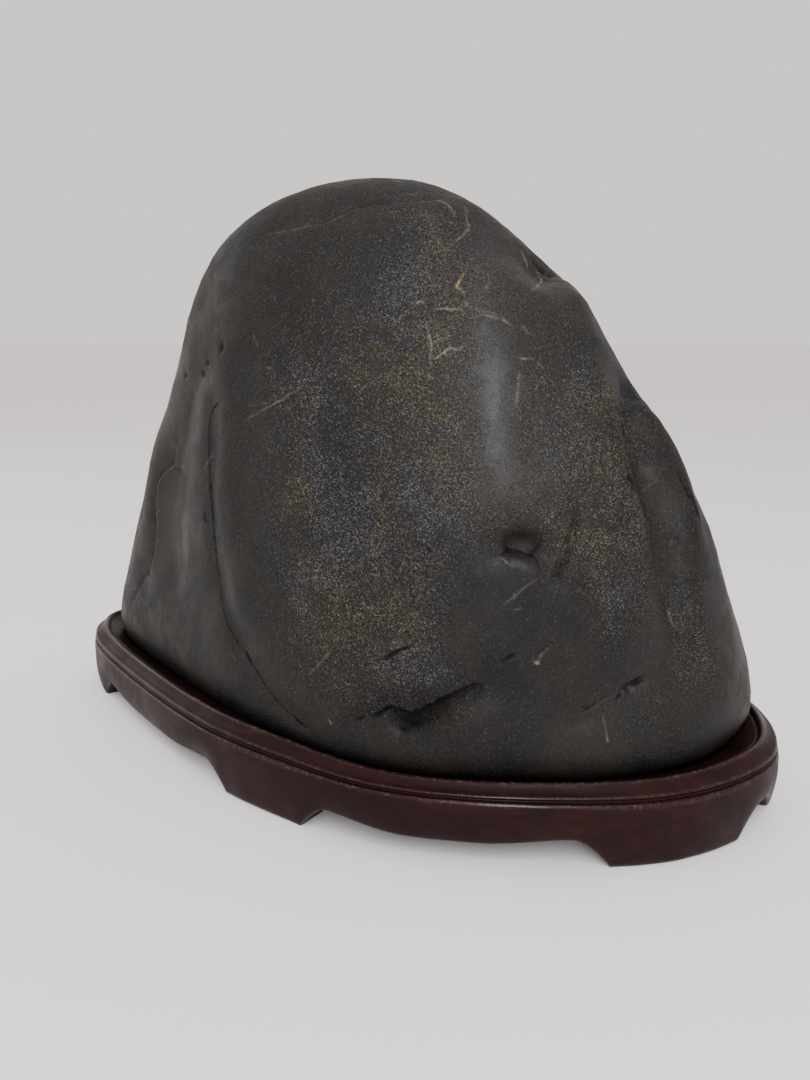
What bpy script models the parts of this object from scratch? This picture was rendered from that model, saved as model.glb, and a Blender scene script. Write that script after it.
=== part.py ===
# Scholars rock on its carved wooden stand, Blender 4.5.
# The stone is one solid that sits loose in a seat carved into the stand.
# Lengths below are millimetres; MM turns them into the scene's metres.
# The origin is under the middle of the stand, +X along the stand, +Z up.

import bmesh
import bpy
import numpy as np

MM = 0.001

# ---- the stand ----------------------------------------------------------------------
STAND_HEIGHT = 31.8      # floor to the ridge of the rim
FOOT_HEIGHT = 10.4       # clear height under the apron, beside the feet
ARCH_SAG = 2.4           # how far the apron dips again in the middle of a long arch
FOOT_DEPTH = 17.0        # how far a foot reaches in from the outline
HOLLOW_HEIGHT = 11.5     # clear height in the middle, behind the feet
APRON_TOP = 23.6         # upper edge of the apron, just under the groove
GROOVE_LEVEL = 24.8      # bottom of the fine groove below the moulding
SEAT_GAP = 1.6           # shadow gap between the stone and the rim
REST_GAP = 0.3           # clearance under the stone
OUTLINE_STEPS = 144      # points round the stand

# widest outline of the stand, counter-clockwise from the right end
STAND_OUTLINE = [
    (171, -4), (157, -41), (122, -70), (51, -92.5), (-8, -86), (-60, -68), (-134, -27),
    (-164, -2), (-172, 22), (-154, 52), (-94, 80), (6, 92.5), (101, 79), (154, 42),
]

# rim and apron from the lip outwards and down: (inset from the outline, height)
RIM_PROFILE = [
    (8.2, 30.4), (6.8, STAND_HEIGHT), (5.6, STAND_HEIGHT), (3.3, 28.6), (1.3, 26.8),
    (1.8, GROOVE_LEVEL), (0.4, APRON_TOP), (0.0, 15.0), (0.8, 6.0), (2.2, 0.0),
]

RIM_DIP = (305.0, 32.0, 2.4)    # bearing, reach and depth of the rim's low stretch in front

# feet, as stretches of the outline between two compass bearings seen from the middle
FEET = {
    "front": (248, 273.5),
    "front right": (329.5, 348),
    "right": (358.5, 371),
    "back": (83, 103),
    "back left": (152, 164),
    "left": (178, 187),
}
FOOT_SHOULDER = 13.0     # length of the slanting shoulder at each side of a foot
SAG_RUN = 32.0           # over which the apron comes down again past a shoulder

# ---- the stone ----------------------------------------------------------------------
HEART = (0.0, 12.0, 95.0)      # the stone is shaped outwards from here
EDGE_SOFTNESS = 8.0            # higher gives crisper edges between the faces
BALL_SUBDIVISIONS = 5

# broad faces: compass bearing, upward tilt (degrees), distance from the heart
STONE_FACES = {
    "front left": (-116, 5, 81),
    "front": (-85, 3, 103),
    "front right": (-60, 9, 117),
    "right end": (-6, 12, 151),
    "right slope": (24, 34, 120),
    "back right": (56, 15, 98),
    "back": (88, 1, 72),
    "back left": (109, 11, 76),
    "left end": (171, 18, 155),
    "left shoulder": (156, 28, 109),
    "left front": (-131, 11, 107),
    "brow": (-75, 34, 104),
    "summit": (100, 80, 161),
    "left crown": (135, 63, 147),
    "back crown": (77, 21, 73),
    "underside": (0, -90, 76),
}

# swellings and hollows: path of points, reach across it, height (minus is a hollow)
STONE_FORMS = {
    "brow groove": ([(-23, -31, 221), (-4, -26, 223), (14, -16, 229)], 7, -1.8),
    "brow swell": ([(-13, -36, 212), (5, -30, 216), (29, -20, 220)], 13, 1.4),
    "summit dip": ([(2, -23, 225)], 8, -1.5),
    "right notch": ([(70, -9, 207), (77, -11, 200)], 5.5, -5.0),
    "right brow flat": ([(53, -5, 221), (69, -11, 207)], 13, -2.2),
    "shoulder swell": ([(87, -6, 191)], 15, 2.2),
    "right valley": ([(107, -17, 165), (110, -20, 159), (116, -26, 146),
        (121, -31, 133), (126, -35, 117), (129, -38, 103)], 8, -4.5),
    "right valley foot": ([(131, -40, 93), (131, -44, 82), (128, -49, 69)], 8, -2.2),
    "right lobe": ([(127, -4, 134), (138, -11, 109)], 15, 3.0),
    "right edge slit": ([(135, -3, 122), (136, -1, 114)], 5, -2.5),
    "left ridge": ([(-44, -41, 192), (-40, -50, 154), (-37, -57, 116), (-28, -65, 78)], 10, 1.6),
    "left shoulder swell": ([(-67, -22, 209), (-76, -21, 192)], 14, 1.8),
    "left upper pits": ([(-64, -36, 164), (-55, -41, 166)], 5, -2.5),
    "left fold": ([(-69, -35, 155), (-73, -36, 135)], 7, -2.2),
    "left hollow": ([(-79, -34, 122), (-84, -34, 99), (-81, -38, 78)], 9, -3.5),
    "left lobe": ([(-98, -21, 128), (-105, -22, 95), (-117, -19, 69)], 12, 2.8),
    "long crease": ([(-50, -46, 152), (-49, -50, 122), (-46, -55, 90),
        (-31, -65, 65), (-16, -73, 49), (7, -80, 37)], 5, -1.6),
    "eye pit": ([(81, -64, 111), (88, -62, 110)], 5.5, -6.0),
    "eye sill": ([(85, -65, 104)], 6, 1.2),
    "eye groove": ([(99, -54, 120), (96, -60, 107), (94, -62, 100)], 4.5, -1.8),
    "lower crevice": ([(34, -84, 46), (44, -84, 52), (55, -82, 53),
        (63, -80, 58), (74, -76, 63)], 4.5, -4.0),
    "crevice pocket": ([(47, -84, 50), (57, -82, 51)], 6, -4.0),
    "crevice brow": ([(38, -84, 57), (61, -80, 64)], 8, 2.0),
    "crevice lobe": ([(67, -80, 50)], 12, 2.5),
    "right crevice": ([(106, -66, 51), (113, -62, 57), (119, -58, 61), (125, -53, 63)], 4.5, -3.2),
    "right crevice brow": ([(113, -60, 64)], 9, 1.4),
    "small pit": ([(115, -43, 123)], 4, -2.0),
    "middle dents": ([(42, -82, 70), (50, -81, 74)], 4, -1.8),
    "back valley": ([(-14, 66, 196), (-2, 82, 150), (14, 86, 96)], 16, -6.0),
    "back ledge": ([(-96, 66, 96), (-62, 80, 84), (-30, 85, 78)], 9, -4.5),
    "back ledge brow": ([(-90, 64, 112), (-54, 80, 100)], 14, 3.0),
    "back pocket": ([(62, 80, 108), (72, 76, 104)], 10, -6.0),
    "back swell": ([(46, 82, 140), (40, 86, 70)], 22, 3.5),
    "back notch": ([(104, 62, 120), (118, 56, 96), (124, 54, 66)], 9, -4.0),
    "left end dent": ([(-128, 34, 92)], 15, -4.0),
    "crown hollow": ([(16, 44, 236), (34, 48, 228)], 14, -3.0),
}
FINE_REACH = 7.5         # forms narrower than this get a finer mesh round them

STONE_COLOUR = (0.035, 0.032, 0.029, 1.0)
WOOD_COLOUR = (0.060, 0.018, 0.014, 1.0)


# ---- helpers ------------------------------------------------------------------------
def make_material(name, colour, roughness):
    material = bpy.data.materials.new(name)
    material.use_nodes = True
    shader = material.node_tree.nodes["Principled BSDF"]
    shader.inputs["Base Color"].default_value = colour
    shader.inputs["Roughness"].default_value = roughness
    shader.inputs["Metallic"].default_value = 0.0
    return material


def make_collection(name):
    collection = bpy.data.collections.new(name)
    bpy.context.scene.collection.children.link(collection)
    return collection


def add_object(name, mesh_builder, collection):
    """Turns a finished bmesh, in millimetres, into an object in metres."""
    bmesh.ops.scale(mesh_builder, vec=(MM, MM, MM), verts=mesh_builder.verts)
    bmesh.ops.recalc_face_normals(mesh_builder, faces=mesh_builder.faces)
    mesh = bpy.data.meshes.new(name)
    mesh_builder.to_mesh(mesh)
    mesh_builder.free()
    item = bpy.data.objects.new(name, mesh)
    collection.objects.link(item)
    return item


def cut(item, cutter):
    """Subtracts a cutter, which stays in its own collection as a guide."""
    cutter.hide_render = True
    cutter.display_type = "WIRE"
    modifier = item.modifiers.new(cutter.name, "BOOLEAN")
    modifier.operation = "DIFFERENCE"
    modifier.solver = "EXACT"
    modifier.object = cutter


# ---- the stand's outline ------------------------------------------------------------
def closed_curve(points, steps):
    """A smooth closed curve through the points, at even steps along its length."""
    points = np.array(points, float)
    count = len(points)
    t = np.linspace(0.0, 1.0, 40, endpoint=False)[:, None]
    pieces = []
    for i in range(count):
        p0, p1, p2, p3 = (points[(i + k) % count] for k in (-1, 0, 1, 2))
        pieces.append(0.5 * (2 * p1 + (p2 - p0) * t + (2 * p0 - 5 * p1 + 4 * p2 - p3) * t**2
                             + (3 * p1 - p0 - 3 * p2 + p3) * t**3))
    dense = np.vstack(pieces)
    closed = np.vstack([dense, dense[:1]])
    run = np.concatenate([[0.0], np.cumsum(np.linalg.norm(np.diff(closed, axis=0), axis=1))])
    even = np.linspace(0.0, run[-1], steps, endpoint=False)
    return np.stack([np.interp(even, run, closed[:, axis]) for axis in (0, 1)], axis=1)


def inset_curve(outline, inset):
    """The outline moved inwards along its normals."""
    along = np.roll(outline, -1, axis=0) - np.roll(outline, 1, axis=0)
    along /= np.linalg.norm(along, axis=1)[:, None]
    inwards = np.stack([along[:, 1], -along[:, 0]], axis=1)
    return outline + inwards * inset


def loft(rings):
    """A closed solid through rings of equal length, capped flat at both ends."""
    builder = bmesh.new()
    rows = [[builder.verts.new(point) for point in ring] for ring in rings]
    count = len(rows[0])
    for lower, upper in zip(rows, rows[1:]):
        for i in range(count):
            j = (i + 1) % count
            builder.faces.new((lower[i], lower[j], upper[j], upper[i]))
    builder.faces.new(rows[0])
    builder.faces.new(rows[-1])
    return builder


def arch_heights(outline):
    """How far the apron's lower edge is lifted at each point: 0 on a foot."""
    bearings = np.degrees(np.arctan2(outline[:, 1], outline[:, 0])) % 360
    on_foot = np.zeros(len(outline), bool)
    for start, end in FEET.values():
        on_foot |= (bearings - start) % 360 <= (end - start) % 360
    apart = np.linalg.norm(outline[:, None] - outline[None, on_foot], axis=2).min(axis=1)
    rise = 1.0 - (1.0 - np.minimum(apart / FOOT_SHOULDER, 1.0)) ** 1.6
    sag = np.clip((apart - FOOT_SHOULDER) / SAG_RUN, 0.0, 1.0)
    return FOOT_HEIGHT * rise - ARCH_SAG * sag * sag * (3.0 - 2.0 * sag)


def rim_dips(outline):
    """How far the ridge of the rim is lowered at each point."""
    bearing, reach, depth = RIM_DIP
    bearings = np.degrees(np.arctan2(outline[:, 1], outline[:, 0]))
    away = (bearings - bearing + 180.0) % 360.0 - 180.0
    return depth * np.exp(-(away / reach) ** 2)


def profile_ring(outline, inset, height, lifts, dips):
    """A ring of the profile, squeezed up over the arches and down where the rim dips."""
    arch_share = max(0.0, 1.0 - height / GROOVE_LEVEL)
    rim_share = max(0.0, (height - GROOVE_LEVEL) / (STAND_HEIGHT - GROOVE_LEVEL))
    heights = height + lifts * arch_share - dips * rim_share
    return [(x, y, z) for (x, y), z in zip(inset_curve(outline, inset), heights)]


# ---- the stone's shape --------------------------------------------------------------
def stone_faces(seat):
    """Unit normals and distances of the broad faces; the seat's are a gap further out."""
    faces = np.array(list(STONE_FACES.values()), float)
    bearing, tilt = np.radians(faces[:, 0]), np.radians(faces[:, 1])
    normals = np.stack([np.cos(bearing) * np.cos(tilt), np.sin(bearing) * np.cos(tilt),
                        np.sin(tilt)], axis=1)
    gaps = np.array([REST_GAP if name == "underside" else SEAT_GAP for name in STONE_FACES])
    return normals, faces[:, 2] + (gaps if seat else 0.0)


def soft_boulder(directions, seat=False):
    """Points and outward normals where rays from the heart leave the blended faces."""
    normals, distances = stone_faces(seat)
    share = np.maximum(directions @ normals.T / distances, 0.0)
    power = (share ** EDGE_SOFTNESS).sum(axis=1)
    points = np.array(HEART) + directions * (power ** (-1.0 / EDGE_SOFTNESS))[:, None]
    outwards = (share ** (EDGE_SOFTNESS - 1.0) / distances) @ normals
    outwards /= np.linalg.norm(outwards, axis=1)[:, None]
    return points, outwards


def distance_to_path(points, path):
    """Distance of each point from the line through the path's points."""
    path = np.array(path, float)
    if len(path) == 1:
        return np.linalg.norm(points - path[0], axis=1)
    nearest = np.full(len(points), np.inf)
    for start, end in zip(path, path[1:]):
        along = end - start
        share = np.clip((points - start) @ along / (along @ along), 0.0, 1.0)
        nearest = np.minimum(nearest, np.linalg.norm(points - start - share[:, None] * along, axis=1))
    return nearest


def stone_points(directions, seat):
    """The boulder with its swellings and hollows."""
    points, outwards = soft_boulder(directions, seat)
    lift = np.zeros(len(points))
    for path, reach, height in STONE_FORMS.values():
        lift += height * np.exp(-(distance_to_path(points, path) / reach) ** 2)
    return points + outwards * lift[:, None]


def ball_directions(builder):
    directions = np.array([vert.co[:] for vert in builder.verts])
    return directions / np.linalg.norm(directions, axis=1)[:, None]


def refine_ball(builder):
    """Halves the ball's faces where a narrow form will be pressed into the stone."""
    paths = [path for path, reach, _ in STONE_FORMS.values() if reach < FINE_REACH]
    points, _ = soft_boulder(ball_directions(builder))
    near = np.zeros(len(points), bool)
    for path in paths:
        near |= distance_to_path(points, path) < FINE_REACH
    edges = [edge for edge in builder.edges if all(near[vert.index] for vert in edge.verts)]
    bmesh.ops.subdivide_edges(builder, edges=edges, cuts=1)
    bmesh.ops.triangulate(builder, faces=builder.faces[:])
    builder.verts.ensure_lookup_table()
    builder.verts.index_update()


def stone_mesh(seat=False):
    """A ball of triangles pressed into the shape of the stone, or of its seat."""
    builder = bmesh.new()
    bmesh.ops.create_icosphere(builder, subdivisions=BALL_SUBDIVISIONS, radius=1.0)
    builder.verts.ensure_lookup_table()
    builder.verts.index_update()
    if not seat:
        refine_ball(builder)
    for vert, point in zip(builder.verts, stone_points(ball_directions(builder), seat)):
        vert.co = point
    return builder


# ---- the pieces ---------------------------------------------------------------------
def build_stone(collection):
    stone = add_object("rock", stone_mesh(), collection)
    stone.data.shade_smooth()
    stone.data.materials.append(make_material("dark stone", STONE_COLOUR, 0.45))
    return stone


def build_stand(collection, cutters):
    outline = closed_curve(STAND_OUTLINE, OUTLINE_STEPS)
    outline -= (outline.max(axis=0) + outline.min(axis=0)) / 2
    lifts, dips = arch_heights(outline), rim_dips(outline)
    rings = [profile_ring(outline, inset, height, lifts, dips) for inset, height in RIM_PROFILE]
    rings.append(profile_ring(outline, FOOT_DEPTH, 0.0, lifts, dips))
    rings.append(profile_ring(outline, FOOT_DEPTH + 1.0, HOLLOW_HEIGHT, 0.0, dips))
    stand = add_object("stand", loft(rings), collection)
    stand.data.materials.append(make_material("dark rosewood", WOOD_COLOUR, 0.35))
    cut(stand, add_object("seat cutter", stone_mesh(seat=True), cutters))
    return stand


def main():
    for item in list(bpy.data.objects):
        bpy.data.objects.remove(item, do_unlink=True)
    parts = make_collection("scholars rock")
    cutters = make_collection("cutters")
    build_stone(parts)
    build_stand(parts, cutters)


main()
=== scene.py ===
import math
import random

import bmesh
import bpy
import numpy as np
from mathutils import Matrix, Quaternion, Vector, noise
from mathutils.bvhtree import BVHTree


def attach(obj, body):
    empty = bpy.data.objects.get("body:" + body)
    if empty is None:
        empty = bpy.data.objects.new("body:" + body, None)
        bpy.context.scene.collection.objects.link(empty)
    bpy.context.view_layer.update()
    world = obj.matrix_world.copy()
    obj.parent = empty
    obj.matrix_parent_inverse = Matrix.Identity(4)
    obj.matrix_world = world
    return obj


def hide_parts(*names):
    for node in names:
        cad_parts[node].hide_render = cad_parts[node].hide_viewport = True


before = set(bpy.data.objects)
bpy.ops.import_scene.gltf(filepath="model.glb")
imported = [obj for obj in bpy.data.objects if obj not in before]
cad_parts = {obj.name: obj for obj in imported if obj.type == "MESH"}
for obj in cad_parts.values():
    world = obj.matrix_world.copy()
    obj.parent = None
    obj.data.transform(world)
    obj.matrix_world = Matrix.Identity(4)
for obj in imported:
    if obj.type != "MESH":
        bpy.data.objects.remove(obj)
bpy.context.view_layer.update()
mm = 0.001
scene = bpy.context.scene


# the camera; marks on the stone are placed by where they show in its frame
cameraView = {
    "place": (0.1592, -0.3425, 0.1778),   # metres
    "turn": 22.898,                       # degrees round from the front, towards the right end
    "lookDown": 13.0,
    "lens": 29.13,
    "sensor": 36.0,
    "picture": (810, 1080),
}


def cameraAxes():
    turn, down = math.radians(cameraView["turn"]), math.radians(cameraView["lookDown"])
    back = Vector((math.sin(turn) * math.cos(down), -math.cos(turn) * math.cos(down), math.sin(down)))
    right = Vector((-back.y, back.x, 0)).normalized()
    return right, back.cross(right), back


def makeCamera():
    right, up, back = cameraAxes()
    lens = bpy.data.cameras.new("camera")
    lens.sensor_width = cameraView["sensor"]
    lens.lens = cameraView["lens"]
    lens.clip_start = 0.01
    camera = bpy.data.objects.new("camera", lens)
    scene.collection.objects.link(camera)
    turned = Matrix((right, up, back)).transposed().to_4x4()
    turned.translation = Vector(cameraView["place"])
    camera.matrix_world = turned
    scene.camera = camera


def seenAt(tree, across, down):
    # the point of the stone that shows at this place of the camera's 810 x 1080 frame
    right, up, back = cameraAxes()
    width, height = cameraView["picture"]
    reach = cameraView["lens"] / cameraView["sensor"] * height
    ray = right * (across - width / 2) / reach - up * (down - height / 2) / reach - back
    hit, _, _, _ = tree.ray_cast(Vector(cameraView["place"]), ray.normalized())
    return hit / mm if hit else None


def foundAt(tree, bearing, height):
    # the point of the stone at a compass bearing and a height, for the sides the camera misses
    turn = math.radians(bearing)
    out = Vector((math.cos(turn), math.sin(turn), 0))
    axis = Vector((*stone["axis"], height)) * mm
    hit, _, _, _ = tree.ray_cast(axis + out * 0.5, -out)
    return hit / mm if hit else None


def meshOf(node):
    # a merged copy of a solid's mesh; the solid itself is left alone
    shape = bmesh.new()
    shape.from_mesh(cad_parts[node].data)
    bmesh.ops.remove_doubles(shape, verts=shape.verts, dist=1e-6)
    return shape


def makePiece(name, shape, material):
    mesh = bpy.data.meshes.new(name)
    shape.to_mesh(mesh)
    shape.free()
    mesh.shade_smooth()
    mesh.materials.append(material)
    piece = bpy.data.objects.new(name, mesh)
    scene.collection.objects.link(piece)
    return piece


def subdivided(shape, levels):
    # runs a Subdivision Surface modifier over the shape and returns the result
    mesh = bpy.data.meshes.new("rough")
    shape.to_mesh(mesh)
    shape.free()
    holder = bpy.data.objects.new("rough", mesh)
    scene.collection.objects.link(holder)
    smoother = holder.modifiers.new("smoother", "SUBSURF")
    smoother.levels = smoother.render_levels = levels
    finished = holder.evaluated_get(bpy.context.evaluated_depsgraph_get()).to_mesh()
    result = bmesh.new()
    result.from_mesh(finished)
    bpy.data.objects.remove(holder)
    bpy.data.meshes.remove(mesh)
    return result


def pointsOf(shape):
    return np.array([vert.co[:] for vert in shape.verts]) / mm


def normalsOf(shape):
    shape.normal_update()
    return np.array([vert.normal[:] for vert in shape.verts])


def softStep(value, low, high):
    share = np.clip((value - low) / (high - low), 0.0, 1.0)
    return share * share * (3.0 - 2.0 * share)


def roughness(points, size, octaves=3):
    # noise that is the same each run, about -1 to 1, with lumps of this size
    return np.array([noise.fractal(Vector(point) / size, 0.9, 2.0, octaves) for point in points])


def layAgainst(points, normals, path):
    # how each point lies to a path drawn on the stone: distance, side (+1 is left of its
    # direction, seen from outside) and how far along it is
    path = np.array(path, float)
    distance = np.full(len(points), 1e6)
    side = np.ones(len(points))
    along = np.zeros(len(points))
    if len(path) == 1:
        return np.linalg.norm(points - path[0], axis=1), side, along + 0.5
    lengths = np.linalg.norm(np.diff(path, axis=0), axis=1)
    run = np.concatenate([[0.0], np.cumsum(lengths)]) / lengths.sum()
    for i in range(len(path) - 1):
        step = path[i + 1] - path[i]
        share = np.clip((points - path[i]) @ step / (step @ step), 0.0, 1.0)
        offset = points - path[i] - share[:, None] * step
        away = np.linalg.norm(offset, axis=1)
        closer = away < distance
        left = np.einsum("ij,ij->i", offset, np.cross(normals, step))
        distance[closer] = away[closer]
        side[closer] = np.sign(left[closer])
        along[closer] = (run[i] + share * (run[i + 1] - run[i]))[closer]
    return distance, side, along


def closeTo(points, path, reach):
    # the numbers of the points in a box round the path
    low, high = np.min(path, axis=0) - reach, np.max(path, axis=0) + reach
    return np.flatnonzero(((points > low) & (points < high)).all(axis=1))


def layAround(points, normals, path, reach):
    # layAgainst for the close points alone, with their numbers first
    close = closeTo(points, path, reach)
    return (close, *layAgainst(points[close], normals[close], path))


# the stone
stone = {
    "smoothing": 1,                  # subdivision levels over the whole stone
    "lumps": ((46, 0.55), (17, 0.26), (6.5, 0.07)),   # size and height of the worn surface's swells
    "fineReach": (6.0, 3.0),         # the mesh is halved within each of these of a mark
    "lineReach": 1.25,               # and once more this close to a crack or a thread
    "ragged": 0.75,                  # how far a crack wanders, as a share of its width
    "threadRagged": 0.8,             # and a thread
    "pitRagged": 0.22,               # how uneven a pit's rim is
    "crackLip": 0.07,                # rise beside a crack, as a share of its depth
    "shadedDepth": 0.55,              # pits deeper than this get painted shade in them
    "chalkDepth": 0.10,
    "chalkStrength": 0.8,
    "axis": (0, 12),                 # the stone's bearings are taken from here
}

# cracks: width, depth, and the path as it shows in the camera's 810 x 1080 frame
cracks = {
    "long crack top": (0.31, 1.3, [(219, 402), (213, 408), (210, 415), (208.5, 439), (209, 465)]),
    "long crack": (0.5, 2.2, [(209, 460), (211, 487), (213, 508), (215, 534), (217, 560)]),
    "long crack foot": (0.28, 1.0, [(216, 548), (217, 569), (222, 604), (226, 622), (235, 640),
                                    (246, 654), (259, 675), (271, 694), (286, 711), (303, 728)]),
    "long crack split": (0.56, 1.6, [(245, 652), (251, 661)]),
    "long crack end": (0.56, 1.6, [(292, 716), (304, 728)]),
    "upper crack": (0.5, 1.4, [(412, 646), (403, 649), (393, 653), (382, 661)]),
    "little crack": (0.43, 1.3, [(514, 655), (508, 658), (501, 663)]),
    "fleck crack": (0.43, 1.2, [(552, 642), (544, 649), (537, 656)]),
    "crevice tail": (0.5, 1.6, [(399, 708), (391, 707), (381, 713), (372, 717)]),
    "crevice prick": (0.56, 1.5, [(364, 717), (358, 720)]),
    "right crevice tail": (0.45, 1.2, [(623, 688), (620, 695), (614, 703)]),
    "right crevice far": (0.5, 1.4, [(607, 696), (599, 700), (592, 706), (583, 712)]),
    "right crevice low": (0.42, 1.1, [(601, 702), (602, 708), (603, 715)]),
    "middle nick": (0.37, 0.9, [(418, 543), (425, 547), (432, 552)]),
    "eye lid crack": (0.42, 1.4, [(502, 554), (507, 550), (514, 548), (521, 549), (528, 552), (534, 557),
                                  (538, 562), (541, 569)]),
    "edge slit": (0.8, 1.5, [(677, 474), (682, 486), (688, 499), (693, 512), (696, 520)]),
    "notch slit": (0.7, 2.0, [(533, 262), (538, 269), (543, 274), (549, 278)]),
    "right crevice slit": (0.85, 1.9, [(621, 690), (626, 686), (634, 682), (644, 679)]),
    "valley slit": (0.5, 1.2, [(624, 470), (629, 482), (634, 494)]),
    "valley crease": (0.5, 0.8, [(628, 462), (632, 480), (636, 496)]),
    "lobe nick": (0.37, 0.9, [(205, 512), (206, 524)]),
}

# ledges: reach of the fall, depth below the path, rise above it; the low side is on the right of
# the path's direction
ledges = {
    "crevice": (5.2, 3.7, 1.1, [(392, 708), (405, 711), (419, 711), (431, 703), (448, 694),
                                (466, 686), (481, 682)]),
    "right crevice": (2.6, 0.9, 0.5, [(624, 689), (634, 683), (645, 680)]),
    "summit edge": (3.8, 0.75, 0.5, [(440, 203), (422, 204.5), (400, 207.5), (382, 210), (368, 211),
                                     (356, 213.5), (344, 218), (335, 222), (325, 225.5), (313, 227.5)]),
    "left lobe edge": (4.0, 1.6, 0.9, [(178, 448), (175, 465), (163, 474), (158, 485), (156.5, 506),
                                       (157.5, 534), (153, 560), (148, 580)]),
}

# broad folds: reach and lift, below zero for a valley
folds = {
    "front ridge": (13.0, 1.8, [(474, 240), (481, 290), (487, 350), (494, 410), (507, 470), (520, 522)]),
    "front slack": (9.0, -1.0, [(560, 330), (565, 380), (562, 430), (556, 470)]),
    "right valley": (5.4, -3.3, [(630, 390), (631, 420), (638, 455), (652, 500), (663, 540), (671, 580),
                                 (676, 615), (670, 648), (655, 672)]),
    "valley mouth": (4.2, -3.4, [(631.5, 390.5)]),
    "valley head": (4.4, -2.2, [(629, 380), (632, 410), (636, 445), (644, 480)]),
    "valley bank": (4.0, 1.6, [(610, 378), (614, 420), (620, 455), (632, 492), (645, 530), (652, 570)]),
    "lobe crown": (4.8, 1.6, [(648, 404), (668, 440), (684, 478), (692, 520), (700, 570)]),
    "lobe fold": (2.4, -1.3, [(660, 478), (668, 510), (676, 545), (682, 580)]),
    "summit crown": (26.0, 1.2, [(390, 187)]),
    "summit crown left": (26.0, 1.3, [(330, 194)]),
    "summit crown right": (26.0, 1.3, [(450, 189)]),
    "eye hollow": (3.9, -1.5, [(505, 549), (513, 545), (522, 542), (530, 546), (537, 552)]),
}

# pits: radius and depth, below zero for a swelling
pits = {
    "lobe head": (6.5, -2.4, [(640, 408), (652, 424)]),
    "eye shade": (3.0, 0.7, [(510, 547), (521, 542), (532, 547)]),
    "eye sill": (3.0, -1.3, [(513, 562), (522, 564), (531, 570)]),
    "notch shoulder": (6.5, -2.0, [(562, 288), (574, 300)]),
    "notch nick": (1.7, 1.7, [(550, 276)]),
    "crevice pocket": (2.6, 3.0, [(403, 718), (412, 720)]),
    "crevice pocket foot": (1.6, 1.6, [(402, 727)]),
    "right crevice pit": (1.5, 0.6, [(628, 689)]),
    "left upper pit": (1.2, 1.5, [(221.5, 349)]),
    "left second pit": (1.5, 1.6, [(203, 374)]),
    "left third pit": (1.0, 0.9, [(207.5, 363)]),
    "left fourth pit": (1.1, 0.9, [(186, 376)]),
    "left small pits": (0.6, 0.35, [(196.5, 430), (189, 428)]),
    "left low pit": (0.8, 0.6, [(180.5, 469)]),
    "left fold": (1.8, 0.35, [(199, 385), (193, 398), (189, 420)]),
    "left second fold": (1.6, 0.25, [(185, 395), (180, 420), (178, 440)]),
    "right small pit": (1.2, 1.1, [(622.5, 506.5)]),
    "right prick": (0.7, 0.7, [(677, 537)]),
    "summit hollow": (1.5, 0.5, [(380, 207), (387, 206.5)]),
    "notch slot": (1.2, 1.2, [(539, 268), (546, 275)]),
    "eye groove": (1.3, 1.2, [(576, 510), (574, 528), (571, 543), (567, 556), (560, 568), (558, 574)]),
    "lobe fold": (1.4, 0.6, [(132, 600), (140, 585), (148, 570)]),
}

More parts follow.
